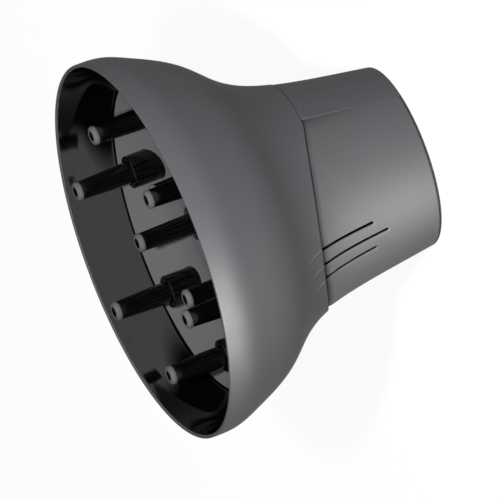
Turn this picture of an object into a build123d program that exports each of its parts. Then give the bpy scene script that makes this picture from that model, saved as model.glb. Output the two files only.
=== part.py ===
import os
from math import atan2, cos, radians, sin, tan

from build123d import *

# Diffuser attachment for a hair dryer, in millimetres and degrees.
# Z runs up the axis: the collar stands on Z = 0 and the mouth opens upward.
# The soft grip pad on the collar faces -Y.

# --- bell and collar, outside ---
mouth_radius = 70.0
bell_height = 101.5  # collar end to lip
throat_radius = 39.1
throat_height = 33.8  # the taper below here is straight
collar_end_radius = 33.5
# the flare, as the drop from the lip and the share of the way out from the throat to the mouth
flare = [(50.8, 0.175), (42.3, 0.356), (33.85, 0.599), (16.9, 0.89), (8.45, 0.987)]
shell_wall = 1.8
lip_round = 0.7
edge_round = 0.4

# --- seam between bell and collar: two planes that meet in a knee ---
seam_knee_height = 39.6
seam_knee_offset = 12.5  # from the axis towards the grip pad
seam_front_slope = 19.5
seam_rear_slope = 5.0
seam_gap = 0.3

# --- collar, inside ---
collar_recess = 0.2  # the collar's skin lies this far under the bell's
spigot_wall = 1.8
spigot_top = 58.0
end_flange_thickness = 1.6
end_flange_clearance = 1.5  # round the barrel

# --- grip pad, laid in the collar's skin ---
pad_half_angle = 76.0
pad_foot = 0.8
pad_recess = 0.5
groove_width = 1.7
groove_depth = 0.9
groove_pitch = 8.2  # degrees round the collar
groove_foot = 22.5  # lower end of the middle groove
groove_step = 5.5  # the outer two end this much higher

# --- soft ring that grips the dryer's barrel ---
barrel_radius = 25.0
ring_wall = 1.6
ring_top = 22.0
lip_count = 3
lip_thickness = 2.0

# --- liner of the mouth and the finger plate ---
liner_setback = 1.0
liner_edge = 0.8
liner_wall = 1.6
liner_bulge_drop = 9.3
liner_bulge_inset = 4.2  # from the mouth's radius
liner_throat_inset = 10.5
liner_throat_drop = 17.15
liner_skirt_drop = 25.0
ring_slot = 0.9  # air slot between liner and plate
plate_floor_drop = 29.1
plate_knee_share = 0.66  # of the plate's radius
plate_bend_radius = 31.0
plate_wall = 2.0
plate_skirt_wall = 1.8
tab_count = 6
tab_drop = 23.3
tab_thickness = 1.6
tab_width = 10.0
tab_reach = 3.3

# --- fingers ---
outer_count = 6
outer_circle_share = 0.64  # of the mouth's radius
outer_start_angle = -90.0
outer_tip_rise = 4.9  # tips stand out of the mouth by this
inner_count = 3
inner_circle_share = 0.3236
inner_start_angle = 0.0
inner_tip_drop = 6.0
finger_root_radius = 3.9
finger_end_radius = 3.3
finger_bore_radius = 2.4
tip_radius = 3.45
tip_length = 2.0
tip_hole_radius = 1.7
tip_round = 1.0
tip_spigot_length = 3.0
inner_flange_radius = 6.4
inner_flange_thickness = 1.6
inner_spigot_radius = 4.5
inner_spigot_length = 3.2

# --- guide sleeves and return springs of the outer fingers ---
sleeve_radius = 6.0
sleeve_top_drop = 16.1
sleeve_seat_drop = 28.0
sleeve_side_wall = 0.8
sleeve_top_wall = 1.8
sleeve_round = 0.5
seat_wall = 1.6
press_travel = 5.0
stop_flange_radius = 4.9
stop_flange_thickness = 1.3
tail_length = 1.5
tail_radius = 3.3
wire_radius = 0.3
spring_radius = 4.15
spring_turns = 5

# --- air spreader ---
spreader_radius = 24.0
spreader_rise = 4.4
spreader_wall = 1.6
spreader_hub_radius = 6.0
post_radius = 4.5
post_length = 6.4
screw_radius = 1.5
screw_length = 7.0
screw_head_radius = 3.0
screw_head_height = 1.8

# --- clearances ---
push_clearance = 0.1  # fixed pieces that push together
slide_clearance = 0.08  # sliding fingers in their sleeves
rest_clearance = 0.2  # a piece that rests on its seat

# --- sizes that follow from those above ---
liner_bulge_radius = mouth_radius - liner_bulge_inset
liner_throat_radius = mouth_radius - liner_throat_inset
outer_circle_radius = outer_circle_share * mouth_radius
inner_circle_radius = inner_circle_share * mouth_radius
liner_throat_height = bell_height - liner_throat_drop
plate_floor = bell_height - plate_floor_drop
plate_rim_radius = liner_throat_radius - ring_slot
plate_knee_radius = plate_knee_share * plate_rim_radius
tab_top = bell_height - tab_drop
sleeve_top = bell_height - sleeve_top_drop
sleeve_seat = bell_height - sleeve_seat_drop
sleeve_ceiling = sleeve_top - sleeve_top_wall
sleeve_bore_radius = sleeve_radius - sleeve_side_wall
outer_tip_height = bell_height + outer_tip_rise
inner_tip_height = bell_height - inner_tip_drop
stop_height = sleeve_ceiling - rest_clearance  # top of an outer finger's stop flange
stop_foot = stop_height - stop_flange_thickness
collar_bore_inset = shell_wall + push_clearance + spigot_wall
dish_slope = atan2(plate_floor_drop - liner_throat_drop, plate_rim_radius - plate_knee_radius)
skin_limit = (bell_height + seam_knee_height) / 2  # clear above the seam all round
post_foot = plate_floor - plate_wall - post_length
below = 12.0  # how far the section is drawn on under Z = 0 before it is trimmed
section_stations = 24  # points along an inset section
overreach = 5.0  # how far a cutting shape passes the part
over_lip = bell_height + overreach

os.makedirs("parts", exist_ok=True)


def save(part, name):
    part.label = name
    export_step(part, f"parts/{name}.step")


# The bell and the collar share one outer section, drawn as radius and height.
collar_taper = (throat_radius - collar_end_radius) / throat_height
flare_points = [
    (throat_radius + outward * (mouth_radius - throat_radius), bell_height - drop)
    for drop, outward in flare
]
with BuildLine() as outer_section:
    Spline(
        (collar_end_radius - below * collar_taper, -below),
        (collar_end_radius, 0),
        (throat_radius, throat_height),
        *flare_points,
        (mouth_radius, bell_height),
        tangents=[(collar_taper, 1), (0, 1)],
    )


def section_points(inset):
    # the outer section moved inward by inset, square to itself
    section = outer_section.edge()
    points = []
    for step in range(section_stations + 1):
        place = section @ (step / section_stations)
        along = section % (step / section_stations)
        points.append((place.X - inset * along.Y, place.Y + inset * along.X))
    return points


def wall_band(outer_inset, inner_inset, low, high):
    # the part of the section between two insets and two heights
    with BuildSketch() as band:
        with BuildLine():
            outside = Spline(*section_points(outer_inset))
            inside = Spline(*section_points(inner_inset))
            Line(outside @ 0, inside @ 0)
            Line(outside @ 1, inside @ 1)
        make_face()
        with Locations((0, (low + high) / 2)):
            Rectangle(4 * mouth_radius, high - low, mode=Mode.INTERSECT)
    return band.sketch


def seam_line(rise):
    # the seam seen from the side, as (y, z), from the rear to the front
    reach = mouth_radius + overreach
    knee = (-seam_knee_offset, seam_knee_height + rise)
    rear = (reach, knee[1] - (reach + seam_knee_offset) * tan(radians(seam_rear_slope)))
    front = (-reach, knee[1] + (reach - seam_knee_offset) * tan(radians(seam_front_slope)))
    return [rear, knee, front]


def side_of_seam(rise, limit):
    # everything between the seam and a height, as a solid
    rear, knee, front = seam_line(rise)
    with BuildPart() as side:
        with BuildSketch(Plane.YZ):
            with BuildLine():
                Polyline(rear, knee, front, (front[0], limit), (rear[0], limit), close=True)
            make_face()
        extrude(amount=mouth_radius + overreach, both=True)
    return side.part


above_seam = side_of_seam(seam_gap / 2, bell_height + below)
below_seam = side_of_seam(-seam_gap / 2, -below)

# --- bell shell ---
with BuildPart() as bell_shell:
    with BuildSketch(Plane.XZ):
        add(wall_band(0, shell_wall, 0, over_lip))
    revolve(axis=Axis.Z)
    add(above_seam, mode=Mode.INTERSECT)
    fillet(bell_shell.edges().filter_by_position(Axis.Z, bell_height - 0.01, bell_height + 0.01), lip_round)
save(bell_shell.part, "bell_shell")

# --- collar: skin, spigot inside the bell's neck, and end flange ---
with BuildPart() as pad_sector:
    with BuildSketch(Plane.XY.offset(pad_foot)):
        with BuildLine():
            rim = CenterArc((0, 0), mouth_radius, -90 - pad_half_angle, 2 * pad_half_angle)
            Polyline(rim @ 1, (0, 0), rim @ 0)
        make_face()
    extrude(amount=bell_height)

with BuildPart() as pad_pocket:
    with BuildSketch(Plane.XZ):
        add(wall_band(-shell_wall, collar_bore_inset, 0, over_lip))
    revolve(axis=Axis.Z)
    add(pad_sector.part, mode=Mode.INTERSECT)

with BuildPart() as collar:
    with BuildSketch(Plane.XZ):
        add(wall_band(collar_recess, shell_wall + push_clearance + spigot_wall / 2, 0, skin_limit))
    revolve(axis=Axis.Z)
    add(below_seam, mode=Mode.INTERSECT)
    add(pad_pocket.part, mode=Mode.SUBTRACT)
    with BuildSketch(Plane.XZ):
        add(wall_band(shell_wall + push_clearance, collar_bore_inset, 0, spigot_top))
    revolve(axis=Axis.Z)
    with BuildSketch(Plane.XZ):
        with BuildLine():
            flange_bore = barrel_radius + end_flange_clearance
            flange_reach = collar_end_radius - shell_wall
            Polyline(
                (flange_bore, 0),
                (flange_reach, 0),
                (flange_reach, end_flange_thickness),
                (flange_bore, end_flange_thickness),
                close=True,
            )
        make_face()
    revolve(axis=Axis.Z)
save(collar.part, "collar")

# --- grip pad with its three grooves ---
with BuildPart() as groove_slots:
    for step in (-1, 0, 1):
        angle = radians(-90 + step * groove_pitch)
        foot = groove_foot + abs(step) * groove_step
        outward = Vector(cos(angle), sin(angle), 0)
        with BuildSketch(Plane(origin=(0, 0, 0), x_dir=(0, 0, 1), z_dir=outward)):
            with Locations((foot + bell_height / 2, 0)):
                SlotOverall(bell_height, groove_width)
        extrude(amount=mouth_radius)

with BuildPart() as groove_cutter:
    with BuildSketch(Plane.XZ):
        add(wall_band(-shell_wall, pad_recess + groove_depth, 0, over_lip))
    revolve(axis=Axis.Z)
    add(groove_slots.part, mode=Mode.INTERSECT)

with BuildPart() as grip_pad:
    with BuildSketch(Plane.XZ):
        add(wall_band(pad_recess, shell_wall, 0, skin_limit))
    revolve(axis=Axis.Z)
    add(pad_sector.part, mode=Mode.INTERSECT)
    add(below_seam, mode=Mode.INTERSECT)
    add(groove_cutter.part, mode=Mode.SUBTRACT)
save(grip_pad.part, "grip_pad")

# --- barrel grip: soft ring with inward lips ---
with BuildPart() as barrel_grip:
    ring_foot = end_flange_thickness + push_clearance
    ring_inset = collar_bore_inset + push_clearance
    with BuildSketch(Plane.XZ):
        add(wall_band(ring_inset, ring_inset + ring_wall, ring_foot, ring_top))
    revolve(axis=Axis.Z)
    with BuildSketch(Plane.XZ):
        add(wall_band(ring_inset, collar_end_radius, ring_foot, ring_top))
        lip_pitch = (ring_top - ring_foot - lip_thickness) / (lip_count - 1)
        with Locations((barrel_radius + mouth_radius / 2, ring_foot + lip_thickness / 2)):
            with Locations(*[(0, index * lip_pitch) for index in range(lip_count)]):
                Rectangle(mouth_radius, lip_thickness, mode=Mode.INTERSECT)
    revolve(axis=Axis.Z)
save(barrel_grip.part, "barrel_grip")

# --- mouth liner: concave wall, skirt down to the bell, and tabs for the plate ---
with BuildPart() as bell_hollow_outside:
    with BuildSketch(Plane.XZ):
        add(wall_band(-shell_wall, shell_wall + rest_clearance, 0, over_lip))
    revolve(axis=Axis.Z)

with BuildPart() as mouth_liner:
    front = bell_height - liner_setback
    edge_radius = mouth_radius - shell_wall - push_clearance
    bulge = (liner_bulge_radius, bell_height - liner_bulge_drop)
    throat = (liner_throat_radius, liner_throat_height)
    skirt_foot = bell_height - liner_skirt_drop
    with BuildSketch(Plane.XZ):
        with BuildLine():
            face = Spline((edge_radius - liner_edge, front), bulge, throat)
            back = Spline(
                (edge_radius, front),
                (bulge[0] + liner_wall, bulge[1]),
                (throat[0] + liner_wall, throat[1]),
            )
            Line(face @ 0, back @ 0)
            Polyline(face @ 1, (throat[0], skirt_foot), (throat[0] + liner_wall, skirt_foot), back @ 1)
        make_face()
    revolve(axis=Axis.Z)
    tab_middle = throat[0] - tab_reach / 2 + liner_wall / 4
    with BuildSketch(Plane.XY.offset(tab_top - tab_thickness)):
        with PolarLocations(tab_middle, tab_count, start_angle=outer_start_angle + 180 / outer_count):
            Rectangle(tab_reach + liner_wall / 2, tab_width)
    extrude(amount=tab_thickness)
    add(bell_hollow_outside.part, mode=Mode.SUBTRACT)
save(mouth_liner.part, "mouth_liner")

# --- finger plate: dished disc with a skirt, sleeve seats and a post for the spreader ---
plate_back = plate_floor - plate_wall
plate_rim_height = liner_throat_height
skirt_inside = plate_rim_radius - plate_skirt_wall
back_knee_radius = plate_knee_radius + plate_wall * tan(dish_slope / 2)
back_rim_height = plate_back + (skirt_inside - back_knee_radius) * tan(dish_slope)
seat_foot = sleeve_seat - seat_wall


def dish_front():
    return FilletPolyline(
        (0, plate_floor),
        (plate_knee_radius, plate_floor),
        (plate_rim_radius, plate_rim_height),
        radius=plate_bend_radius,
    )


with BuildPart() as seat_bosses:
    with BuildSketch(Plane.XZ):
        with BuildLine():
            dish_front()
            Polyline((plate_rim_radius, plate_rim_height), (plate_rim_radius, seat_foot), (0, seat_foot))
            Line((0, seat_foot), (0, plate_floor))
        make_face()
    revolve(axis=Axis.Z)
    with BuildSketch(Plane.XY.offset(seat_foot)):
        with PolarLocations(outer_circle_radius, outer_count, start_angle=outer_start_angle):
            Circle(sleeve_radius + seat_wall)
    extrude(amount=bell_height, mode=Mode.INTERSECT)

with BuildPart() as finger_plate:
    with BuildSketch(Plane.XZ):
        with BuildLine():
            dish_front()
            Polyline(
                (plate_rim_radius, plate_rim_height),
                (plate_rim_radius, tab_top + rest_clearance),
                (skirt_inside, tab_top + rest_clearance),
                (skirt_inside, back_rim_height),
            )
            FilletPolyline(
                (skirt_inside, back_rim_height),
                (back_knee_radius, plate_back),
                (0, plate_back),
                radius=plate_bend_radius + plate_wall,
            )
            Line((0, plate_back), (0, plate_floor))
        make_face()
    revolve(axis=Axis.Z)
    add(seat_bosses.part)
    with BuildSketch(Plane.XY.offset(post_foot)):
        Circle(post_radius)
    extrude(amount=post_length)
    with BuildSketch(Plane.XY.offset(post_foot)):
        Circle(screw_radius + push_clearance)
    extrude(amount=screw_length, mode=Mode.SUBTRACT)
    with BuildSketch(Plane.XY.offset(sleeve_seat)):
        with PolarLocations(outer_circle_radius, outer_count, start_angle=outer_start_angle):
            Circle(sleeve_radius + push_clearance)
    extrude(amount=bell_height, mode=Mode.SUBTRACT)
    with BuildSketch(Plane.XY.offset(seat_foot)):
        with PolarLocations(outer_circle_radius, outer_count, start_angle=outer_start_angle):
            Circle(finger_bore_radius + push_clearance)
    extrude(amount=seat_wall, mode=Mode.SUBTRACT)
    with BuildSketch(Plane.XY.offset(plate_back)):
        with PolarLocations(inner_circle_radius, inner_count, start_angle=inner_start_angle):
            Circle(inner_spigot_radius + push_clearance)
    extrude(amount=plate_wall, mode=Mode.SUBTRACT)
save(finger_plate.part, "finger_plate")


def circle_places(radius, count, start):
    # (x, y) of evenly spaced pieces on a circle
    angles = [radians(start + index * 360 / count) for index in range(count)]
    return [(radius * cos(angle), radius * sin(angle)) for angle in angles]


def tip_at(place, top):
    # soft tip: a rounded cap with an air hole and a spigot in the finger's bore
    with BuildPart() as tip:
        with BuildSketch(Plane.XY.offset(top - tip_length)):
            with Locations(place):
                Circle(tip_radius)
        extrude(amount=tip_length)
        fillet(tip.edges().sort_by(Axis.Z)[-1], tip_round)
        with BuildSketch(Plane.XY.offset(top - tip_length)):
            with Locations(place):
                Circle(finger_bore_radius - push_clearance)
        extrude(amount=-tip_spigot_length)
        with BuildSketch(Plane.XY.offset(top)):
            with Locations(place):
                Circle(tip_hole_radius)
        extrude(amount=-tip_length - tip_spigot_length, mode=Mode.SUBTRACT)
    return tip.part


def finger_at(place, steps):
    # hollow shaft from a list of (radius, height) steps, turned about its own axis
    with BuildPart() as finger:
        with BuildSketch(Plane(origin=(*place, 0), x_dir=(1, 0, 0), z_dir=(0, -1, 0))):
            with BuildLine():
                foot, top = steps[0][1], steps[-1][1]
                Polyline(
                    (finger_bore_radius, foot), *steps, (finger_bore_radius, top), close=True
                )
            make_face()
        revolve(axis=Axis(origin=(*place, 0), direction=(0, 0, 1)))
    return finger.part


# --- outer fingers: each slides in its sleeve on a spring ---
outer_places = circle_places(outer_circle_radius, outer_count, outer_start_angle)
taper_foot = sleeve_top + press_travel + rest_clearance  # the guided length below is straight
tail_foot = stop_foot - tail_length
for number, place in enumerate(outer_places, start=1):
    shaft_steps = [
        (tail_radius, tail_foot),
        (tail_radius, stop_foot),
        (stop_flange_radius, stop_foot),
        (stop_flange_radius, stop_height),
        (finger_root_radius, stop_height),
        (finger_root_radius, taper_foot),
        (finger_end_radius, outer_tip_height - tip_length),
    ]
    save(finger_at(place, shaft_steps), f"outer_finger_{number}")
    save(tip_at(place, outer_tip_height), f"outer_tip_{number}")

    with BuildPart() as guide_sleeve:
        with BuildSketch(Plane.XY.offset(sleeve_seat)):
            with Locations(place):
                Circle(sleeve_radius)
        extrude(amount=sleeve_top - sleeve_seat)
        fillet(guide_sleeve.edges().sort_by(Axis.Z)[-1], sleeve_round)
        with BuildSketch(Plane.XY.offset(sleeve_seat)):
            with Locations(place):
                Circle(sleeve_bore_radius)
        extrude(amount=sleeve_ceiling - sleeve_seat, mode=Mode.SUBTRACT)
        with BuildSketch(Plane.XY.offset(sleeve_ceiling)):
            with Locations(place):
                Circle(finger_root_radius + slide_clearance)
        extrude(amount=sleeve_top_wall, mode=Mode.SUBTRACT)
    save(guide_sleeve.part, f"guide_sleeve_{number}")

    spring_foot = sleeve_seat + wire_radius + rest_clearance
    spring_height = stop_foot - wire_radius - rest_clearance - spring_foot
    with BuildPart() as finger_spring:
        with BuildLine():
            coil = Helix(
                pitch=spring_height / spring_turns,
                height=spring_height,
                radius=spring_radius,
                center=(*place, spring_foot),
            )
        with BuildSketch(Plane(origin=coil @ 0, z_dir=coil % 0)):
            Circle(wire_radius)
        sweep(path=coil)
    save(finger_spring.part, f"finger_spring_{number}")

# --- inner fingers: fixed, each on a flat flange ---
for number, place in enumerate(circle_places(inner_circle_radius, inner_count, inner_start_angle), start=1):
    flange_top = plate_floor + inner_flange_thickness
    shaft_steps = [
        (inner_spigot_radius, plate_floor - inner_spigot_length),
        (inner_spigot_radius, plate_floor),
        (inner_flange_radius, plate_floor),
        (inner_flange_radius, flange_top),
        (finger_root_radius, flange_top),
        (finger_end_radius, inner_tip_height - tip_length),
    ]
    save(finger_at(place, shaft_steps), f"inner_finger_{number}")
    save(tip_at(place, inner_tip_height), f"inner_tip_{number}")

# --- air spreader: shallow cone under the plate, held by one screw ---
hub_top = post_foot
hub_foot = post_foot - spreader_wall
with BuildPart() as air_spreader:
    with BuildSketch(Plane.XZ):
        with BuildLine():
            Polyline(
                (screw_radius + push_clearance, hub_top),
                (spreader_hub_radius, hub_top),
                (spreader_radius, hub_top + spreader_rise),
                (spreader_radius, hub_foot + spreader_rise),
                (spreader_hub_radius, hub_foot),
                (screw_radius + push_clearance, hub_foot),
                close=True,
            )
        make_face()
    revolve(axis=Axis.Z)
save(air_spreader.part, "air_spreader")

with BuildPart() as spreader_screw:
    with BuildSketch(Plane.XY.offset(hub_foot - screw_head_height)):
        Circle(screw_head_radius)
    extrude(amount=screw_head_height)
    fillet(spreader_screw.edges().sort_by(Axis.Z)[0], edge_round)
    with BuildSketch(Plane.XY.offset(hub_foot)):
        Circle(screw_radius)
    extrude(amount=screw_length)
save(spreader_screw.part, "spreader_screw")
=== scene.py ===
import math

import bmesh
import bpy
from mathutils import Matrix, Vector, geometry


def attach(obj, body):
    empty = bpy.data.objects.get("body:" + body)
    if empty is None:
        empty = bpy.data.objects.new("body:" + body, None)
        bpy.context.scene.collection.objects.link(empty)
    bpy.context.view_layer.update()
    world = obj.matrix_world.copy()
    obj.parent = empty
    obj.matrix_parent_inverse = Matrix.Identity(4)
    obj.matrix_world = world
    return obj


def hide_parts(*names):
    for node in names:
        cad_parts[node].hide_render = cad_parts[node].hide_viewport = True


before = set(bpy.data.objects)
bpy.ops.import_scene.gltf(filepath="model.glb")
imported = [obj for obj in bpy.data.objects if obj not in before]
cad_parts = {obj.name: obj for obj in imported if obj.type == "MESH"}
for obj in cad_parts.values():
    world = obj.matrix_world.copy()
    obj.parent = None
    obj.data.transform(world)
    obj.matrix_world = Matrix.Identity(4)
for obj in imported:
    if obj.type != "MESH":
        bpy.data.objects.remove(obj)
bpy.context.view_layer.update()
mm = 0.001
rootBody = "diffuser"

# outer section shared by bell, collar and pad, from the same driving sizes as the solids, in mm
section = {
    "endRadius": 33.5,  # at height 0, the collar's end
    "throat": (33.8, 39.1),  # height and radius where the straight taper ends
    "lip": (101.5, 70.0),
    # the flare: drop from the lip, and share of the way out from the throat to the lip
    "flare": [(50.8, 0.175), (42.3, 0.356), (33.85, 0.599), (16.9, 0.89), (8.45, 0.987)],
    "below": 12.0,  # how far the taper is drawn on under the end
    "steps": 24,  # spans between two points
}
lipHeight, lipRadius = section["lip"]

# seam between bell and collar: two slopes that meet in a knee
seam = {
    "kneeHeight": 39.6,
    "kneeOffset": 12.5,  # from the axis towards the pad
    "frontSlope": 19.5,  # degrees
    "rearSlope": 5.0,
    "gap": 0.4,
    "rearGap": 0.08,
    "gapRamp": 6.0,  # length over which the gap opens
    "nominal": 40.0,  # height of the ring that is moved onto the seam
}
sharpAngle = 40  # degrees between two faces that meet in a crisp edge


def smoothLine(points, steps):
    # a smooth line through all the points
    line = []
    spots = [Vector((a, b, 0)) for a, b in points]
    for index in range(len(spots) - 1):
        here, there = spots[index], spots[index + 1]
        before = spots[index - 1] if index else here
        after = spots[index + 2] if index + 2 < len(spots) else there
        handle = here + (there - before) / 6
        endHandle = there - (after - here) / 6
        curve = geometry.interpolate_bezier(here, handle, endHandle, there, steps + 1)
        line += [(p.x, p.y) for p in curve[:-1]]
    return line + [points[-1]]


def battenLine(points, startWay, endWay, steps):
    # the line a springy batten takes through all the points, with its way given at both ends
    spots = [Vector((a, b, 0)) for a, b in points]
    spans = [(b - a).length for a, b in zip(spots, spots[1:])]
    ways = [startWay.normalized()] + [Vector()] * (len(spots) - 2) + [endWay.normalized()]
    for attempt in range(40):  # each pass brings the bend on both sides of a point closer together
        for index in range(1, len(spots) - 1):
            before, after = spans[index - 1], spans[index]
            pull = (spots[index] - spots[index - 1]) * (3 * after / before)
            pull += (spots[index + 1] - spots[index]) * (3 * before / after)
            pull -= ways[index - 1] * after + ways[index + 1] * before
            ways[index] = pull / (2 * (before + after))
    line = []
    for index, span in enumerate(spans):
        here, there = spots[index], spots[index + 1]
        handle = here + ways[index] * span / 3
        endHandle = there - ways[index + 1] * span / 3
        curve = geometry.interpolate_bezier(here, handle, endHandle, there, steps + 1)
        line += [(p.x, p.y) for p in curve[:-1]]
    return line + [points[-1]]


taper = (section["throat"][1] - section["endRadius"]) / section["throat"][0]
flarePoints = [(lipHeight - drop, section["throat"][1] + share * (lipRadius - section["throat"][1]))
               for drop, share in section["flare"]]
taperPoints = [(height, section["endRadius"] + height * taper) for height in (-section["below"], 0.0)]
sectionPoints = taperPoints + [section["throat"]] + flarePoints + [section["lip"]]
sectionLine = battenLine(sectionPoints, Vector((1, taper, 0)), Vector((1, 0, 0)), section["steps"])


def skinRadius(height):
    # radius of the outer section at a height, in mm
    for (lowHeight, lowRadius), (highHeight, highRadius) in zip(sectionLine, sectionLine[1:]):
        if height <= highHeight:
            break
    return lowRadius + (highRadius - lowRadius) * (height - lowHeight) / (highHeight - lowHeight)


def seamHeight(angle):
    # height of the seam on the outer skin, at an angle round the axis
    height = seam["kneeHeight"]
    for attempt in range(12):
        towardsPad = -skinRadius(height) * math.sin(angle) - seam["kneeOffset"]
        slope = seam["frontSlope"] if towardsPad > 0 else seam["rearSlope"]
        height = seam["kneeHeight"] + towardsPad * math.tan(math.radians(slope))
    return height


def seamGap(angle):
    # the joint line is open along the pad and nearly shut behind the knee
    towardsPad = -skinRadius(seam["kneeHeight"]) * math.sin(angle) - seam["kneeOffset"]
    opened = min(max(towardsPad / seam["gapRamp"], 0), 1)
    return seam["rearGap"] + (seam["gap"] - seam["rearGap"]) * opened


def wire(bm, corners, rounds=(), closed=True, segments=4):
    # the section of a turned piece, (radius, height) in mm, with some corners rounded
    verts = [bm.verts.new((radius * mm, 0, height * mm)) for radius, height in corners]
    pairs = zip(verts, verts[1:] + verts[:1]) if closed else zip(verts, verts[1:])
    for a, b in pairs:
        bm.edges.new((a, b))
    for corner, size in rounds:
        bmesh.ops.bevel(bm, geom=[verts[corner]], affect="VERTICES", offset=size * mm, offset_type="OFFSET",
                        segments=segments, profile=0.5, material=-1)


def spinRound(bm, steps, centre=(0, 0)):
    # full turn of the wire about the axis, then over to the piece's place in mm
    bmesh.ops.spin(bm, geom=bm.verts[:] + bm.edges[:], cent=(0, 0, 0), axis=(0, 0, 1), angle=math.tau,
                   steps=steps, use_merge=True)
    bmesh.ops.remove_doubles(bm, verts=bm.verts, dist=1e-6)
    bmesh.ops.translate(bm, verts=bm.verts, vec=(centre[0] * mm, centre[1] * mm, 0))


def rods(spots, radius, foot, top, sides=64):
    # upright round rods, one at each spot, in mm
    bm = bmesh.new()
    for spot in spots:
        middle = Vector((spot[0], spot[1], (foot + top) / 2)) * mm
        bmesh.ops.create_cone(bm, cap_ends=True, segments=sides, radius1=radius * mm, radius2=radius * mm,
                              depth=(top - foot) * mm, matrix=Matrix.Translation(middle))
    return bm


def combine(bm, tool, operation):
    # joins, cuts or intersects two closed meshes and frees both
    pair = []
    for source in (bm, tool):
        bmesh.ops.recalc_face_normals(source, faces=source.faces)
        mesh = bpy.data.meshes.new("scratch")
        source.to_mesh(mesh)
        source.free()
        pair.append(bpy.data.objects.new("scratch", mesh))
        bpy.context.scene.collection.objects.link(pair[-1])
    change = pair[0].modifiers.new("change", "BOOLEAN")
    change.operation = operation
    change.solver = "EXACT"
    change.object = pair[1]
    shaped = pair[0].evaluated_get(bpy.context.evaluated_depsgraph_get())
    result = bmesh.new()
    result.from_mesh(shaped.to_mesh())
    shaped.to_mesh_clear()
    for item in pair:
        mesh = item.data
        bpy.data.objects.remove(item)
        bpy.data.meshes.remove(mesh)
    return result


def slideToSeam(bm, nominal, low, high, side):
    # moves the ring at the nominal height to the seam; rings up to low and above high stay
    for vert in bm.verts:
        height = vert.co.z / mm
        if not low - 0.01 < height < high:
            continue
        angle = math.atan2(vert.co.y, vert.co.x)
        edge = seamHeight(angle) + side * seamGap(angle) / 2
        if height <= nominal:
            newHeight = low + (height - low) * (edge - low) / (nominal - low) if nominal > low else edge
        else:
            newHeight = edge + (height - nominal) * (high - edge) / (high - nominal)
        radius = math.hypot(vert.co.x, vert.co.y) / mm - skinRadius(height) + skinRadius(newHeight)
        vert.co = (radius * mm * math.cos(angle), radius * mm * math.sin(angle), newHeight * mm)


def makePiece(name, bm, material, body, nodes):
    bmesh.ops.recalc_face_normals(bm, faces=bm.faces)
    mesh = bpy.data.meshes.new(name)
    bm.to_mesh(mesh)
    bm.free()
    mesh.shade_smooth()
    mesh.set_sharp_from_angle(angle=math.radians(sharpAngle))
    mesh.materials.append(material)
    piece = bpy.data.objects.new(name, mesh)
    bpy.context.scene.collection.objects.link(piece)
    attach(piece, body)
    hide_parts(*nodes)
    return piece


def hexColour(text):
    # sRGB hex to linear, opaque
    channels = [int(text[i:i + 2], 16) / 255 for i in (1, 3, 5)]
    return [c / 12.92 if c <= 0.04045 else ((c + 0.055) / 1.055) ** 2.4 for c in channels] + [1.0]


def addNode(tree, kind, settings=None, values=None, links=None):
    node = tree.nodes.new(kind)
    for key, value in (settings or {}).items():
        setattr(node, key, value)
    for key, value in (values or {}).items():
        node.inputs[key].default_value = value
    for key, source in (links or {}).items():
        tree.links.new(source, node.inputs[key])
    return node


def scoreLines(tree, where, scores, below):
    # fine raised lines on the neck that carry the grip grooves on past the seam and fade out, with a painted
    # highlight along them
    place = addNode(tree, "ShaderNodeSeparateXYZ", links={"Vector": where})
    side = addNode(tree, "ShaderNodeMath", {"operation": "MULTIPLY"}, {1: -1.0}, {0: place.outputs["Y"]})
    turn = addNode(tree, "ShaderNodeMath", {"operation": "ARCTAN2"},
                   links={0: place.outputs["X"], 1: side.outputs[0]})  # 0 in the middle of the pad
    rise = addNode(tree, "ShaderNodeMath", {"operation": "SUBTRACT"}, {1: scores["foot"] * mm},
                   {0: place.outputs["Z"]})
    lean = addNode(tree, "ShaderNodeMath", {"operation": "MULTIPLY_ADD"}, {1: scores["lean"] / mm},
                   {0: rise.outputs[0], 2: turn.outputs[0]})
    lines = []
    for step in (-1, 0, 1):
        off = addNode(tree, "ShaderNodeMath", {"operation": "SUBTRACT"},
                      {1: math.radians(step * scores["pitch"] + scores["shift"])}, {0: lean.outputs[0]})
        front = addNode(tree, "ShaderNodeMapRange", {"interpolation_type": "SMOOTHSTEP"},
                        {"From Min": -scores["width"] / scores["radius"], "From Max": 0.0},
                        {"Value": off.outputs[0]})
        back = addNode(tree, "ShaderNodeMapRange", {"interpolation_type": "SMOOTHSTEP"},
                       {"From Min": 0.0, "From Max": scores["slack"] / scores["radius"], "To Min": 1.0,
                        "To Max": 0.0}, {"Value": off.outputs[0]})
        lines.append(addNode(tree, "ShaderNodeMath", {"operation": "MULTIPLY"},
                             links={0: front.outputs[0], 1: back.outputs[0]}))
    both = addNode(tree, "ShaderNodeMath", {"operation": "MAXIMUM"},
                   links={0: lines[0].outputs[0], 1: lines[1].outputs[0]})
    ridge = addNode(tree, "ShaderNodeMath", {"operation": "MAXIMUM"},
                    links={0: both.outputs[0], 1: lines[2].outputs[0]})
    fade = addNode(tree, "ShaderNodeMapRange", {"interpolation_type": "SMOOTHSTEP"},
                   {"From Min": scores["full"] * mm, "From Max": scores["length"] * mm, "To Min": 1.0,
                    "To Max": 0.0}, {"Value": rise.outputs[0]})
    height = addNode(tree, "ShaderNodeMath", {"operation": "MULTIPLY"},
                     links={0: ridge.outputs[0], 1: fade.outputs[0]})
    bump = addNode(tree, "ShaderNodeBump", values={"Strength": 1.0, "Distance": scores["height"] * mm},
                   links={"Height": height.outputs[0], "Normal": below.outputs["Normal"]})
    return bump, height.outputs[0]


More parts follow.
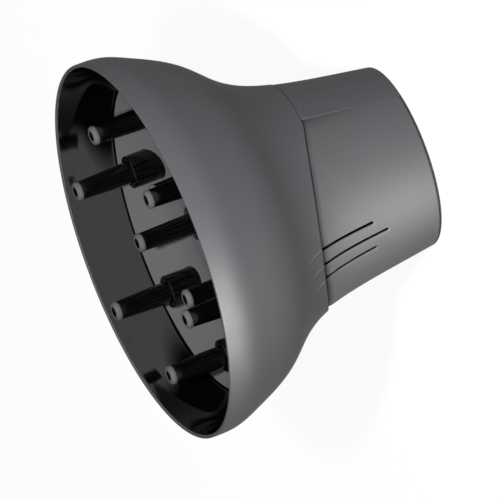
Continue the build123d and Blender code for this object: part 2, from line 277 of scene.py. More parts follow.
def plasticMaterial(name, look):
    # moulded plastic or rubber: even colour with faint flow marks, a fine eroded grain and rubbed spots
    material = bpy.data.materials.new(name)
    material.use_nodes = True
    tree = material.node_tree
    tree.nodes.clear()
    where = addNode(tree, "ShaderNodeTexCoord").outputs["Object"]
    flow = addNode(tree, "ShaderNodeTexNoise", values={"Scale": 1 / (look["flowSize"] * mm), "Detail": 3.0,
                                                       "Roughness": 0.5}, links={"Vector": where})
    grain = addNode(tree, "ShaderNodeTexNoise", values={"Scale": 1 / (look["grainSize"] * mm), "Detail": 2.0,
                                                        "Roughness": 0.6}, links={"Vector": where})
    rub = addNode(tree, "ShaderNodeTexNoise", values={"Scale": 1 / (look["rubSize"] * mm), "Detail": 6.0,
                                                      "Roughness": 0.65}, links={"Vector": where})
    colour = addNode(tree, "ShaderNodeMix", {"data_type": "RGBA"}, links={0: flow.outputs["Fac"]})
    colour.inputs[6].default_value = hexColour(look["dark"])
    colour.inputs[7].default_value = hexColour(look["light"])
    rough = addNode(tree, "ShaderNodeMapRange", values={"From Min": 0.35, "From Max": 0.7,
                                                        "To Min": look["roughness"] - look["roughSpread"],
                                                        "To Max": look["roughness"] + look["roughSpread"]},
                    links={"Value": rub.outputs["Fac"]})
    bump = addNode(tree, "ShaderNodeBump", values={"Strength": look["grainStrength"],
                                                   "Distance": look["grainDepth"] * mm},
                   links={"Height": grain.outputs["Fac"]})
    finish = colour.outputs[2]
    if "scores" in look:
        bump, ridge = scoreLines(tree, where, look["scores"], bump)
        # painted highlight: the colour is lightened along the raised score lines
        paintedRidgeHighlight = addNode(tree, "ShaderNodeMix", {"data_type": "RGBA"}, links={0: ridge, 6: finish})
        paintedRidgeHighlight.inputs[7].default_value = hexColour(look["scores"]["colour"])
        finish = paintedRidgeHighlight.outputs[2]
    # painted shade: where the mesh's shade attribute is up, the colour goes towards the look's shade colour
    # and the specular falls away
    if "shade" in look:
        share = addNode(tree, "ShaderNodeAttribute", {"attribute_name": "shade"}).outputs["Fac"]
        paintedShade = addNode(tree, "ShaderNodeMix", {"data_type": "RGBA"}, links={0: share, 6: finish})
        paintedShade.inputs[7].default_value = hexColour(look["shade"])
        finish = paintedShade.outputs[2]
        paintedShadeSpecular = addNode(tree, "ShaderNodeMapRange", values={"To Min": look["specular"], "To Max": 0.0},
                       links={"Value": share})
    shader = addNode(tree, "ShaderNodeBsdfPrincipled",
                     values={"IOR": look["ior"], "Specular IOR Level": look["specular"]},
                     links={"Base Color": finish, "Roughness": rough.outputs["Result"],
                            "Normal": bump.outputs["Normal"]})
    if "shade" in look:
        tree.links.new(paintedShadeSpecular.outputs["Result"], shader.inputs["Specular IOR Level"])
    addNode(tree, "ShaderNodeOutputMaterial", links={"Surface": shader.outputs["BSDF"]})
    return material


# satin ABS from a finely eroded mould: the even sheen of the outer shell
shellLook = {"dark": "#5d5f62", "light": "#626467", "flowSize": 30, "grainSize": 0.5, "rubSize": 9,
             "roughness": 0.58, "roughSpread": 0.03, "grainStrength": 0.25, "grainDepth": 0.02, "ior": 1.5,
             "specular": 0.5}
shellPlastic = plasticMaterial("satinAbsShell", shellLook)
# the score lines are raised by a bump and also lighter in colour: a painted highlight along each ridge
bellPlastic = plasticMaterial("satinAbsBell", dict(shellLook, scores={
    "foot": 50.2, "full": 2.0, "length": 12.0, "pitch": 8.2, "shift": 1.2, "lean": 0.0015, "width": 0.4,
    "slack": 0.6, "radius": 44.5, "height": 0.25, "colour": "#9a9c9f"}))
# soft-touch coat on the pad: the shell's grey with a broader sheen, and painted shade in its slots and along
# its joints
padLook = dict(shellLook, dark="#5d5f61", light="#616366", roughness=0.6, specular=0.82, shade="#050505")
padRubber = plasticMaterial("softTouchPad", padLook)
# polished ABS: the bowl's wall mirrors the mouth and the fingers as in a dark varnish
linerLook = dict(shellLook, dark="#040404", light="#060606", specular=0.72, roughness=0.07, roughSpread=0.02,
                 rubSize=14, grainStrength=0.04)
linerPlastic = plasticMaterial("polishedAbsLiner", linerLook)
# polished mid-grey ABS: lighter than the bowl, with soft mirror images of the fingers
plateLook = dict(shellLook, dark="#727375", light="#78797b", roughness=0.16, roughSpread=0.03,
                 grainStrength=0.06)
platePlastic = plasticMaterial("polishedAbsPlate", plateLook)
# jet black with a narrow sheen: fingers and the sleeves they slide in
fingerLook = dict(shellLook, dark="#050505", light="#080808", specular=0.38, roughness=0.13, roughSpread=0.02,
                  grainStrength=0.03)
sleevePlastic = plasticMaterial("polishedAbsSleeve", fingerLook)
fingerPlastic = plasticMaterial("polishedPolyamideFinger", fingerLook)
# soft grey silicone: a matt cap, with painted shade inside its hole
tipLook = dict(shellLook, dark="#66686a", light="#747577", roughness=0.5, roughSpread=0.04, flowSize=4,
               shade="#040404")
tipSilicone = plasticMaterial("siliconeTip", tipLook)
# matt black rubber of the ring that grips the barrel
ringLook = dict(shellLook, dark="#1a1a1b", light="#1f1f20", roughness=0.6, specular=0.4)
ringRubber = plasticMaterial("epdmRing", ringLook)
# plain dark ABS of the hidden spreader
spreaderLook = dict(shellLook, dark="#26272a", light="#2a2b2d", roughness=0.4)
spreaderPlastic = plasticMaterial("satinAbsSpreader", spreaderLook)


def steelMaterial(name, look):
    # drawn or turned steel: fine lines along the wire or round the head, and a few dull spots
    material = bpy.data.materials.new(name)
    material.use_nodes = True
    tree = material.node_tree
    tree.nodes.clear()
    where = addNode(tree, "ShaderNodeTexCoord").outputs["Object"]
    stretch = addNode(tree, "ShaderNodeMapping", values={"Scale": look["stretch"]}, links={"Vector": where})
    lines = addNode(tree, "ShaderNodeTexNoise", values={"Scale": 1 / (look["lineSize"] * mm), "Detail": 3.0},
                    links={"Vector": stretch.outputs["Vector"]})
    spots = addNode(tree, "ShaderNodeTexNoise", values={"Scale": 1 / (look["spotSize"] * mm), "Detail": 5.0},
                    links={"Vector": where})
    colour = addNode(tree, "ShaderNodeMix", {"data_type": "RGBA"}, links={0: spots.outputs["Fac"]})
    colour.inputs[6].default_value = hexColour(look["dark"])
    colour.inputs[7].default_value = hexColour(look["light"])
    rough = addNode(tree, "ShaderNodeMapRange", values={"From Min": 0.3, "From Max": 0.7,
                                                        "To Min": look["roughness"] - look["roughSpread"],
                                                        "To Max": look["roughness"] + look["roughSpread"]},
                    links={"Value": lines.outputs["Fac"]})
    bump = addNode(tree, "ShaderNodeBump", values={"Strength": 0.3, "Distance": look["lineDepth"] * mm},
                   links={"Height": lines.outputs["Fac"]})
    shader = addNode(tree, "ShaderNodeBsdfPrincipled", values={"Metallic": 1.0},
                     links={"Base Color": colour.outputs[2], "Roughness": rough.outputs["Result"],
                            "Normal": bump.outputs["Normal"]})
    addNode(tree, "ShaderNodeOutputMaterial", links={"Surface": shader.outputs["BSDF"]})
    return material


# drawn spring wire: bright, with drawing lines
springLook = {"dark": "#8a8c8f", "light": "#a5a7aa", "stretch": (1.0, 1.0, 6.0), "lineSize": 0.12,
              "spotSize": 1.5, "roughness": 0.28, "roughSpread": 0.08, "lineDepth": 0.01}
springSteel = steelMaterial("drawnSpringSteel", springLook)
# zinc plated screw: duller and a little warmer
screwLook = dict(springLook, dark="#8d8a82", light="#a9a69e", stretch=(1.0, 1.0, 3.0), roughness=0.38)
screwSteel = steelMaterial("zincPlatedScrew", screwLook)
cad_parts["spreader_screw"].material_slots[0].material = screwSteel
for name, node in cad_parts.items():
    if name.startswith("finger_spring"):
        node.material_slots[0].material = springSteel
print("materials made")

bell = {"wall": 1.8, "lipWall": 1.15, "lipDepth": 5.0, "lipRound": 0.5, "edgeRound": 0.45, "slideTop": 92.0,
        "rows": 70, "turns": 288}


def levelsBetween(low, high, count):
    return [low + (high - low) * index / count for index in range(count + 1)]


def bellWall(height):
    # wall thickness in mm: it thins towards the lip
    share = min(max((height - lipHeight) / bell["lipDepth"] + 1, 0), 1)
    return bell["wall"] + (bell["lipWall"] - bell["wall"]) * share


bm = bmesh.new()
outerWall = [(skinRadius(h), h) for h in levelsBetween(seam["nominal"], lipHeight, bell["rows"])]
innerWall = [(radius - bellWall(h), h) for radius, h in reversed(outerWall)]
lipCorner = len(outerWall) - 1
wire(bm, outerWall + innerWall, rounds=[(lipCorner, bell["lipRound"]), (lipCorner + 1, bell["lipRound"]),
                                        (0, bell["edgeRound"])])
spinRound(bm, bell["turns"])
slideToSeam(bm, seam["nominal"], seam["nominal"], bell["slideTop"], 1)
makePiece("bellShell", bm, bellPlastic, rootBody, ["bell_shell"])
print("bell made")

collar = {"recess": 0.2, "wall": 3.7, "spigotInset": 1.9, "spigotTop": 58.0, "footRows": [0.0, 0.5, 0.75],
          "skinRows": 28, "spigotRows": 8, "insideRows": 20, "slideFoot": 1.5, "flange": 1.6,
          "flangeBore": 26.5, "footRound": 0.5, "turns": 360}
pad = {"halfAngle": 76.0, "foot": 0.8, "clearance": 0.03, "sideGap": 0.06, "footRecess": 0.22,
       "seamRecess": 0.7, "back": 1.8, "edge": 0.35, "rollWidth": 3.2, "seamRoll": 0.55,
       "sideRollWidth": 6.0, "sideRoll": 0.45,
       "bead": 0.16, "fineAngle": 11.0, "fineTurns": 180, "sideTurns": 66, "radius": 36.0, "top": 50.0,
       "footRows": (0, 0.05, 0.12, 0.22, 0.4), "topRows": (0.32, 0.2, 0.1, 0.04, 0),
       "rows": [(1.6, 19.5, 14), (20.0, 29.5, 48), (30.0, 49.5, 30)],  # finer where the grooves end
       "edgeAngles": [0.06, 0.1, 0.16, 0.24, 0.34]}
pocket = {"skinDepth": 1.0, "beadWidth": 1.2, "sideInset": 0.5, "squeezeFrom": 1.5, "squeeze": 0.95,
          "footSlack": 0.05}  # depth and slack in mm, the rest in degrees round the collar
# the pad's painted shade: width at the seam, what the middle adds, its fall-off, its least share, the sides
padPaintedShade = {"seamWidth": 2.0, "seamMiddle": 1.4, "seamPower": 1.2, "seamLeast": 0.35, "spread": 1.6,
           "sideWidth": 7.0, "sideShare": 0.35}
groove = {"width": 2.1, "slot": 1.3, "depth": 0.5, "ramp": 0.12, "pitch": 8.2, "foot": 22.0, "step": 5.5,
          "soft": 0.2}

bm = bmesh.new()
skinLevels = collar["footRows"] + [pad["foot"]]
skinLevels += levelsBetween(pad["foot"] + 1, seam["nominal"], collar["skinRows"])
skin = [(skinRadius(h) - collar["recess"], h) for h in skinLevels]
spigotOut = [(skinRadius(h) - collar["spigotInset"], h)
             for h in levelsBetween(seam["nominal"], collar["spigotTop"], collar["spigotRows"])]
inside = [(skinRadius(h) - collar["wall"], h)
          for h in reversed(levelsBetween(collar["flange"], collar["spigotTop"], collar["insideRows"]))]
flange = [(collar["flangeBore"], collar["flange"]), (collar["flangeBore"], 0.0)]
wire(bm, skin + spigotOut + inside + flange, rounds=[(0, collar["footRound"])])
spinRound(bm, collar["turns"])
slideToSeam(bm, seam["nominal"], collar["slideFoot"], collar["spigotTop"], -1)
for vert in bm.verts:  # pocket for the pad
    angle = math.atan2(vert.co.y, vert.co.x)
    fromPad = math.degrees(angle) + 90
    fromPad = fromPad - 360 if fromPad > 180 else fromPad
    height, radius = vert.co.z / mm, math.hypot(vert.co.x, vert.co.y) / mm
    onSkin = radius > skinRadius(height) - pocket["skinDepth"]
    pastPad = abs(fromPad) - pad["halfAngle"]
    if onSkin and 0 < pastPad < pocket["beadWidth"] and height > pad["foot"]:  # bead along the crease
        radius += pad["bead"] * min(height / seam["nominal"], 1)
        vert.co = (radius * mm * math.cos(angle), radius * mm * math.sin(angle), vert.co.z)
    if onSkin and pastPad < -pocket["sideInset"] and height > pad["foot"] - pocket["footSlack"]:
        if pastPad > -pocket["squeezeFrom"]:  # squeeze the last column against the pocket's side
            angle += math.copysign(math.radians(pocket["squeeze"]), fromPad)
        radius = skinRadius(height) - collar["spigotInset"]
        vert.co = (radius * mm * math.cos(angle), radius * mm * math.sin(angle), vert.co.z)
makePiece("collarTube", bm, shellPlastic, rootBody, ["collar"])
print("collar made")


def softStep(value):
    value = min(max(value, 0), 1)
    return value * value * (3 - 2 * value)


def grooveShape(fromPad, height, radius):
    # depth of the grip grooves in mm and how far a spot lies in their slots, where shade is painted
    depth = slotShare = 0
    for step in (-1, 0, 1):  # a narrow slot above and a shallow ramp below
        across = (fromPad - step * groove["pitch"]) * math.pi / 180 * radius
        start = softStep((height - groove["foot"] - abs(step) * groove["step"]) / groove["soft"] / 2)
        upper = softStep((groove["width"] / 2 - across) / groove["soft"])
        rampWidth = groove["width"] - groove["slot"]
        slot = upper * softStep((across + groove["width"] / 2 - rampWidth) / groove["soft"]) * start
        ramp = min(max((across + groove["width"] / 2) / rampWidth, 0), 1) * upper * start
        depth += groove["ramp"] * ramp + (groove["depth"] - groove["ramp"]) * slot
        slotShare += slot
    return depth, slotShare


def padShade(fromPad, height, edge):
    # painted shade in the slots, along the joint line and beside the creases, 0 to 1
    radius = skinRadius(height)
    shade = grooveShape(fromPad, height, radius)[1]
    middle = math.cos(math.radians(min(abs(fromPad) * padPaintedShade["spread"], 90)))
    toSeam = max(1 - (edge - height) / (padPaintedShade["seamWidth"] + padPaintedShade["seamMiddle"] * middle), 0)
    side = (pad["halfAngle"] - abs(fromPad)) * math.pi / 180 * radius
    toSide = max(1 - side / padPaintedShade["sideWidth"], 0) * (height - pad["foot"]) / (edge - pad["foot"])
    shade += (padPaintedShade["seamLeast"] + (1 - padPaintedShade["seamLeast"]) * middle) * toSeam ** padPaintedShade["seamPower"]
    return min(shade + padPaintedShade["sideShare"] * toSide ** 2, 1)


def padInset(fromPad, height, edge):
    # depth of the pad's face under the outer skin, in mm
    radius = skinRadius(height)
    share = (height - pad["foot"]) / (edge - pad["foot"])
    depth = pad["footRecess"] + (pad["seamRecess"] - pad["footRecess"]) * share ** 2
    depth += grooveShape(fromPad, height, radius)[0]
    side = (pad["halfAngle"] - abs(fromPad)) * math.pi / 180 * radius - pad["sideGap"]
    toSeam = 1 - min((edge - height) / pad["rollWidth"], 1)
    depth += pad["seamRoll"] * toSeam ** 2 * math.cos(math.radians(fromPad * 90 / pad["halfAngle"])) ** 0.5
    toSide = 1 - min(side / pad["sideRollWidth"], 1)
    depth += pad["sideRoll"] * max(toSide, 0) ** 2 * share
    border = min(height - pad["foot"] - pad["clearance"], edge - height)
    if border < pad["edge"]:
        sink = 1 - max(border, 0) / pad["edge"]
        depth += pad["edge"] * (1 - math.sqrt(max(1 - sink * sink, 0)))
    return depth


bm = bmesh.new()
padTop = pad["top"]  # height of the pad's upper edge before it follows the seam
padFoot = pad["foot"] + pad["clearance"]
rows = [padFoot + rise for rise in pad["footRows"]]
for low, high, count in pad["rows"]:
    rows += levelsBetween(low, high, count)
rows += [padTop - drop for drop in pad["topRows"]]
verts = [bm.verts.new((skinRadius(h) * mm, 0, h * mm)) for h in rows]
for a, b in zip(verts, verts[1:]):
    bm.edges.new((a, b))
sideGap = math.degrees(pad["sideGap"] / pad["radius"])
bmesh.ops.rotate(bm, verts=bm.verts, cent=(0, 0, 0),
                 matrix=Matrix.Rotation(math.radians(-90 - pad["halfAngle"] + sideGap), 3, "Z"))
sweep = [(a, 1) for a in pad["edgeAngles"]]
sweep += [(pad["halfAngle"] - sideGap - sum(pad["edgeAngles"]) - pad["fineAngle"], pad["sideTurns"])]
sweep += [(2 * pad["fineAngle"], pad["fineTurns"])] + sweep[::-1]
last = bm.verts[:] + bm.edges[:]
for angle, steps in sweep:
    turned = bmesh.ops.spin(bm, geom=last, cent=(0, 0, 0), axis=(0, 0, 1), angle=math.radians(angle),
                            steps=steps, use_merge=False)
    last = turned["geom_last"]
bmesh.ops.remove_doubles(bm, verts=bm.verts, dist=1e-6)
shadeLayer = bm.verts.layers.float.new("shade")
for vert in bm.verts:
    angle = math.atan2(vert.co.y, vert.co.x)
    edge = seamHeight(angle) - seamGap(angle) / 2
    height = padFoot + (vert.co.z / mm - padFoot) * (edge - padFoot) / (padTop - padFoot)
    fromPad = math.degrees(angle) + 90
    fromPad = fromPad - 360 if fromPad > 180 else fromPad
    radius = skinRadius(height) - padInset(fromPad, height, edge)
    # painted shade for the slots, the joint line and the creases
    vert[shadeLayer] = padShade(fromPad, height, edge)
    vert.co = (radius * mm * math.cos(angle), radius * mm * math.sin(angle), height * mm)
rim = [e for e in bm.edges if e.is_boundary]
wall = bmesh.ops.extrude_edge_only(bm, edges=rim)["geom"]
for vert in [v for v in wall if isinstance(v, bmesh.types.BMVert)]:  # the pad's own edge, down to its back
    angle = math.atan2(vert.co.y, vert.co.x)
    radius = skinRadius(vert.co.z / mm) - pad["back"]
    vert.co = (radius * mm * math.cos(angle), radius * mm * math.sin(angle), vert.co.z)
makePiece("gripPad", bm, padRubber, rootBody, ["grip_pad"])
print("grip pad made")

ring = {"foot": 1.7, "top": 22.0, "inset": 3.8, "wall": 1.6, "bore": 25.0, "lip": 2.0, "lipRound": 0.7,
        "turns": 128}
bm = bmesh.new()
pitch = (ring["top"] - ring["foot"] - ring["lip"]) / 2


def ringRadius(height, depth):
    return skinRadius(height) - ring["inset"] - depth


corners = [(ringRadius(ring["foot"], 0), ring["foot"]), (ringRadius(ring["top"], 0), ring["top"])]
for lip in (2, 1, 0):
    low = ring["foot"] + lip * pitch
    high = low + ring["lip"]
    if lip < 2:
        corners.append((ringRadius(high, ring["wall"]), high))
    corners += [(ring["bore"], high), (ring["bore"], low)]
    if lip > 0:
        corners.append((ringRadius(low, ring["wall"]), low))
rounds = [(index, ring["lipRound"]) for index, corner in enumerate(corners) if corner[0] == ring["bore"]]
wire(bm, corners, rounds=rounds)
spinRound(bm, ring["turns"])
makePiece("barrelRing", bm, ringRubber, rootBody, ["barrel_grip"])

liner = {"front": 100.9, "edgeRadius": 68.6, "edge": 0.3, "clearance": 0.03, "wall": 1.6,
         "bulge": (65.8, 92.2),
         "throat": (59.5, 84.35), "foot": 76.5, "footTaper": 0.4, "throatRound": 0.3, "steps": 14,
         "turns": 256}
bm = bmesh.new()
face = smoothLine([(liner["edgeRadius"] - liner["edge"], liner["front"]), liner["bulge"], liner["throat"]],
                  liner["steps"])
backPoints = [(radius + liner["wall"], height) for radius, height in (liner["bulge"], liner["throat"])]
back = smoothLine([(liner["edgeRadius"], liner["front"])] + backPoints, liner["steps"])
back = [(min(radius, skinRadius(h) - bellWall(h) - liner["clearance"]), h) for radius, h in back]
foot = [(liner["throat"][0], liner["foot"]),
        (liner["throat"][0] + liner["wall"] - liner["footTaper"], liner["foot"])]
wire(bm, face + foot + back[::-1], rounds=[(len(face) - 1, liner["throatRound"])])
spinRound(bm, liner["turns"])
makePiece("mouthLiner", bm, linerPlastic, rootBody, ["mouth_liner"])
print("liner made")

fingers = {"ringRadius": 44.8, "ringCount": 6, "ringStart": -90.0, "innerRadius": 22.65, "innerCount": 3,
           "innerStart": 0.0, "root": 3.9, "end": 3.3, "bore": 2.4, "outerTop": 106.4, "innerTop": 95.5,
           "tail": (3.3, 80.6), "stop": (4.9, 82.1, 83.4), "stopRound": 0.2, "endRound": 0.25,
           "taperFoot": 90.6, "turns": 48}
tip = {"radius": 3.45, "length": 2.0, "hole": 1.75, "round": 1.0, "holeRound": 0.25, "footRound": 0.3,
       "spigot": 3.0, "spigotFit": 0.1, "shadeWidth": 0.2, "segments": 6}
sleeve = {"radius": 6.0, "top": 85.4, "seat": 73.5, "ceiling": 83.6, "chamber": 5.2, "bore": 3.98,
          "round": 0.5, "boreRound": 0.25, "turns": 64}
innerBase = {"flange": 6.4, "thickness": 1.6, "spigot": 4.5, "spigotLength": 3.2, "flangeRound": 0.5,
             "rootRound": 0.8}


def spotsOnRing(radius, count, start):
    # evenly spaced places round the axis, in mm
    angles = [math.radians(start + index * 360 / count) for index in range(count)]
    return [(radius * math.cos(a), radius * math.sin(a)) for a in angles]


plate = {"floor": 72.4, "knee": 38.7, "rim": (58.6, 83.95), "bend": 8.6, "wall": 2.0, "skirtFoot": 78.4,
         "skirtWall": 1.8, "seatWall": 1.6, "post": (4.5, 64.0), "screwHole": 1.6, "screwStop": 0.2,
         "fit": 0.1, "backShift": 0.55, "rimRound": 0.4, "segments": 12, "seatEnd": 54.0,
         "boreOver": 1.0, "past": 5.0,
         "turns": 192}
bm = bmesh.new()
plateBack = plate["floor"] - plate["wall"]
insideRadius = plate["rim"][0] - plate["skirtWall"]
slope = (plate["rim"][1] - plate["floor"]) / (plate["rim"][0] - plate["knee"])
backKnee = plate["knee"] + plate["backShift"]
corners = [(0, plate["floor"]), (plate["knee"], plate["floor"]), plate["rim"],
           (plate["rim"][0], plate["skirtFoot"]), (insideRadius, plate["skirtFoot"]),
           (insideRadius, plateBack + slope * (insideRadius - backKnee)), (backKnee, plateBack),
           (0, plateBack)]
wire(bm, corners, rounds=[(1, plate["bend"]), (6, plate["bend"]), (2, plate["rimRound"])], closed=False,
     segments=plate["segments"])
spinRound(bm, plate["turns"])
outerSpots = spotsOnRing(fingers["ringRadius"], fingers["ringCount"], fingers["ringStart"])
innerSpots = spotsOnRing(fingers["innerRadius"], fingers["innerCount"], fingers["innerStart"])
seatFoot = sleeve["seat"] - plate["seatWall"]
inWall = plate["floor"] - plate["wall"] / 2  # level inside the plate's own thickness
seatEnd, past = plate["seatEnd"], plate["past"]  # past: how far a cutting rod goes beyond the plate
wedge = bmesh.new()
corners = [(plate["knee"] + (seatFoot - inWall) / slope, seatFoot), (seatEnd, seatFoot),
           (seatEnd, inWall + slope * (seatEnd - plate["knee"]))]
wire(wedge, corners)
spinRound(wedge, plate["turns"])
bosses = rods(outerSpots, sleeve["radius"] + plate["seatWall"], seatFoot - past, sleeve["top"])
seats = combine(wedge, bosses, "INTERSECT")
postRadius, postFoot = plate["post"]
bm = combine(bm, seats, "UNION")
bm = combine(bm, rods([(0, 0)], postRadius, postFoot, inWall), "UNION")
cuts = [([(0, 0)], plate["screwHole"], postFoot - past, inWall - plate["screwStop"]),
        (outerSpots, sleeve["radius"] + plate["fit"], sleeve["seat"], sleeve["top"]),
        (outerSpots, fingers["bore"] + plate["fit"], seatFoot - past, sleeve["seat"] + plate["boreOver"]),
        (innerSpots, innerBase["spigot"] + plate["fit"], seatFoot - past, plate["floor"] + past)]
for spots, radius, low, high in cuts:
    bm = combine(bm, rods(spots, radius, low, high), "DIFFERENCE")
makePiece("fingerPlate", bm, platePlastic, rootBody, ["finger_plate"])
print("plate made")

def addTip(name, spot, top, body, node):
    bm = bmesh.new()
    foot = top - tip["length"]
    spigotRadius = fingers["bore"] - tip["spigotFit"]
    corners = [(tip["hole"], foot - tip["spigot"]), (spigotRadius, foot - tip["spigot"]), (spigotRadius, foot),
               (tip["radius"], foot), (tip["radius"], top), (tip["hole"], top)]
    wire(bm, corners, rounds=[(4, tip["round"]), (5, tip["holeRound"]), (3, tip["footRound"])],
         segments=tip["segments"])
    spinRound(bm, fingers["turns"], spot)
    shadeLayer = bm.verts.layers.float.new("shade")
    for vert in bm.verts:  # painted shade inside the hole
        fromAxis = math.hypot(vert.co.x / mm - spot[0], vert.co.y / mm - spot[1])
        vert[shadeLayer] = 1 - softStep((fromAxis - tip["hole"]) / tip["shadeWidth"])
    makePiece(name, bm, tipSilicone, body, [node])


for index, spot in enumerate(outerSpots, 1):
    body = f"outer_finger_slide_{index}"
    shaftTop = fingers["outerTop"] - tip["length"]
    bore = fingers["bore"]
    bm = bmesh.new()
    corners = [(bore, fingers["tail"][1]), fingers["tail"], (fingers["tail"][0], fingers["stop"][1]),
               (fingers["stop"][0], fingers["stop"][1]), (fingers["stop"][0], fingers["stop"][2]),
               (fingers["root"], fingers["stop"][2]), (fingers["root"], fingers["taperFoot"]),
               (fingers["end"], shaftTop), (bore, shaftTop)]
    wire(bm, corners, rounds=[(3, fingers["stopRound"]), (4, fingers["stopRound"]), (7, fingers["endRound"])])
    spinRound(bm, fingers["turns"], spot)
    makePiece(f"outerFinger{index}", bm, fingerPlastic, body, [f"outer_finger_{index}"])
    addTip(f"outerTip{index}", spot, fingers["outerTop"], body, f"outer_tip_{index}")

    bm = bmesh.new()
    corners = [(sleeve["chamber"], sleeve["seat"]), (sleeve["radius"], sleeve["seat"]),
               (sleeve["radius"], sleeve["top"]), (sleeve["bore"], sleeve["top"]),
               (sleeve["bore"], sleeve["ceiling"]), (sleeve["chamber"], sleeve["ceiling"])]
    wire(bm, corners, rounds=[(2, sleeve["round"]), (3, sleeve["boreRound"])])
    spinRound(bm, sleeve["turns"], spot)
    makePiece(f"guideSleeve{index}", bm, sleevePlastic, rootBody, [f"guide_sleeve_{index}"])

for index, spot in enumerate(innerSpots, 1):
    floor = plate["floor"]
    flangeTop = floor + innerBase["thickness"]
    shaftTop = fingers["innerTop"] - tip["length"]
    bm = bmesh.new()
    corners = [(fingers["bore"], floor - innerBase["spigotLength"]),
               (innerBase["spigot"], floor - innerBase["spigotLength"]), (innerBase["spigot"], floor),
               (innerBase["flange"], floor), (innerBase["flange"], flangeTop), (fingers["root"], flangeTop),
               (fingers["end"], shaftTop), (fingers["bore"], shaftTop)]
    wire(bm, corners, rounds=[(4, innerBase["flangeRound"]), (5, innerBase["rootRound"]),
                              (6, fingers["endRound"])])
    spinRound(bm, fingers["turns"], spot)
    makePiece(f"innerFinger{index}", bm, fingerPlastic, rootBody, [f"inner_finger_{index}"])
    addTip(f"innerTip{index}", spot, fingers["innerTop"], rootBody, f"inner_tip_{index}")
print("fingers made")

spreader = {"radius": 24.0, "hub": 6.0, "top": 64.0, "wall": 1.6, "rise": 4.4, "hole": 1.6,
            "bendRound": 1.5, "edgeRound": 0.5, "turns": 128}
bm = bmesh.new()
hubTop, rise = spreader["top"], spreader["rise"]
hubFoot = hubTop - spreader["wall"]
corners = [(spreader["hole"], hubTop), (spreader["hub"], hubTop), (spreader["radius"], hubTop + rise),
           (spreader["radius"], hubFoot + rise), (spreader["hub"], hubFoot), (spreader["hole"], hubFoot)]
wire(bm, corners, rounds=[(4, spreader["bendRound"]), (3, spreader["edgeRound"]), (2, spreader["edgeRound"])])
spinRound(bm, spreader["turns"])
makePiece("airSpreader", bm, spreaderPlastic, rootBody, ["air_spreader"])
print("spreader made")

studio = {
    "aim": (0, 0, 0.06), "floorSize": 3.0, "floorColour": "#6c6c6c", "floorGlow": 0.93,
    "floorMirrored": 0.48, "ambient": 0.14,
    "front": (0.62, -0.78, 0.0),  # the sky is bright on this side and dim on the other
    "skyBack": 0.0, "skyFades": (-0.15, 0.25),
    "keyPower": 9.0, "keyFrom": (0.56, -0.655, 0.56), "keySize": 0.05,
    "stripPower": 32.0, "stripFrom": (-0.18, -0.88, 0.05), "stripSize": 0.5, "stripHeight": 0.1,
}


def areaLight(name, power, spot, width, height):
    lamp = bpy.data.lights.new(name, "AREA")
    lamp.shape = "RECTANGLE"
    lamp.energy = power
    lamp.size = width
    lamp.size_y = height
    lampObject = bpy.data.objects.new(name, lamp)
    aim = Vector(studio["aim"]) - Vector(spot)
    lampObject.matrix_world = Matrix.Translation(spot) @ aim.to_track_quat("-Z", "Y").to_matrix().to_4x4()
    bpy.context.scene.collection.objects.link(lampObject)
    return lampObject


keyLamp = areaLight("keyLamp", studio["keyPower"], studio["keyFrom"], studio["keySize"], studio["keySize"])
stripLamp = areaLight("stripLamp", studio["stripPower"], studio["stripFrom"], studio["stripSize"],
                      studio["stripHeight"])
keyLamp.visible_glossy = False  # no small hot spots in the polished bowl
stripLamp.visible_diffuse = False  # only a long sheen, and only on the satin shell
shellPieces = bpy.data.collections.new("shellPieces")
for name in ("bellShell", "collarTube", "gripPad"):
    shellPieces.objects.link(bpy.data.objects[name])
stripLamp.light_linking.receiver_collection = shellPieces

bm = bmesh.new()
bmesh.ops.create_grid(bm, x_segments=1, y_segments=1, size=studio["floorSize"] / 2)
mesh = bpy.data.meshes.new("studioFloor")
bm.to_mesh(mesh)
bm.free()
floorObject = bpy.data.objects.new("studioFloor", mesh)
bpy.context.scene.collection.objects.link(floorObject)


def seenAs(tree, plain, shown, mirrored):
    # plain for diffuse rays, shown for camera rays, mirrored for glossy and transmission rays
    path = addNode(tree, "ShaderNodeLightPath")
    bounced = addNode(tree, "ShaderNodeMath", {"operation": "MAXIMUM"},
                      links={0: path.outputs["Is Glossy Ray"], 1: path.outputs["Is Transmission Ray"]})
    direct = addNode(tree, "ShaderNodeMixShader", links={0: path.outputs["Is Camera Ray"], 1: plain, 2: shown})
    return addNode(tree, "ShaderNodeMixShader",
                   links={0: bounced.outputs[0], 1: direct.outputs[0], 2: mirrored}).outputs[0]


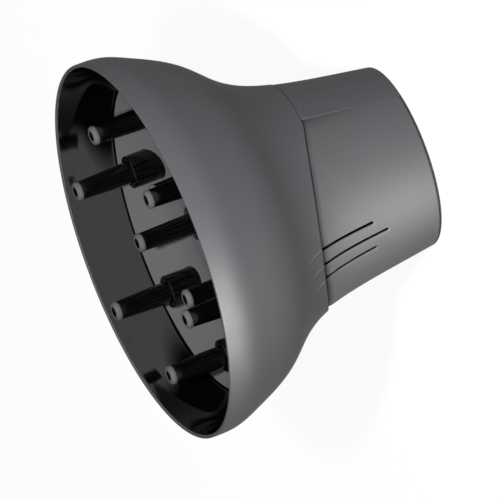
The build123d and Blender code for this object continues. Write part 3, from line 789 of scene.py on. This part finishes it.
floorPaint = bpy.data.materials.new("whitePaintedFloor")
floorPaint.use_nodes = True
tree = floorPaint.node_tree
tree.nodes.clear()
paint = addNode(tree, "ShaderNodeBsdfDiffuse", values={"Color": hexColour(studio["floorColour"])})
glow = addNode(tree, "ShaderNodeEmission", values={"Strength": studio["floorGlow"]})
both = addNode(tree, "ShaderNodeAddShader", links={0: paint.outputs[0], 1: glow.outputs[0]})
mirrored = addNode(tree, "ShaderNodeEmission", values={"Strength": studio["floorMirrored"]})
surface = seenAs(tree, paint.outputs[0], both.outputs[0], mirrored.outputs[0])
addNode(tree, "ShaderNodeOutputMaterial", links={"Surface": surface})
mesh.materials.append(floorPaint)

world = bpy.data.worlds.new("studio")
world.use_nodes = True
bpy.context.scene.world = world
tree = world.node_tree
tree.nodes.clear()
dim = addNode(tree, "ShaderNodeBackground", values={"Color": (1, 1, 1, 1), "Strength": studio["ambient"]})
white = addNode(tree, "ShaderNodeBackground", values={"Color": (1, 1, 1, 1), "Strength": 1.0})
skyward = addNode(tree, "ShaderNodeTexCoord").outputs["Generated"]
towards = addNode(tree, "ShaderNodeVectorMath", {"operation": "DOT_PRODUCT"}, {1: studio["front"]},
                  {0: skyward})
fadeFrom, fadeTo = studio["skyFades"]
level = addNode(tree, "ShaderNodeMapRange", {"interpolation_type": "SMOOTHSTEP"},
                {"From Min": fadeFrom, "From Max": fadeTo, "To Min": studio["skyBack"], "To Max": 1.0},
                {"Value": towards.outputs["Value"]})
mirrored = addNode(tree, "ShaderNodeBackground", links={"Strength": level.outputs[0]})
surface = seenAs(tree, dim.outputs[0], white.outputs[0], mirrored.outputs[0])
addNode(tree, "ShaderNodeOutputWorld", links={"Surface": surface})

lens = {"width": 0.1763, "distance": 1.0, "target": (-0.0034, -0.0160, 0.0672),
        "right": (-0.1025, -0.4302, -0.8970), "up": (0.7978, 0.5029, -0.3325)}
camera = bpy.data.cameras.new("camera")
camera.type = "ORTHO"
camera.ortho_scale = lens["width"]
cameraObject = bpy.data.objects.new("camera", camera)
right = Vector(lens["right"]).normalized()
backward = right.cross(Vector(lens["up"])).normalized()
up = backward.cross(right)
turn = Matrix((right, up, backward)).transposed().to_4x4()
cameraObject.matrix_world = Matrix.Translation(Vector(lens["target"]) + backward * lens["distance"]) @ turn
bpy.context.scene.collection.objects.link(cameraObject)
bpy.context.scene.camera = cameraObject
bpy.context.scene.view_settings.view_transform = "Standard"
print("studio made")
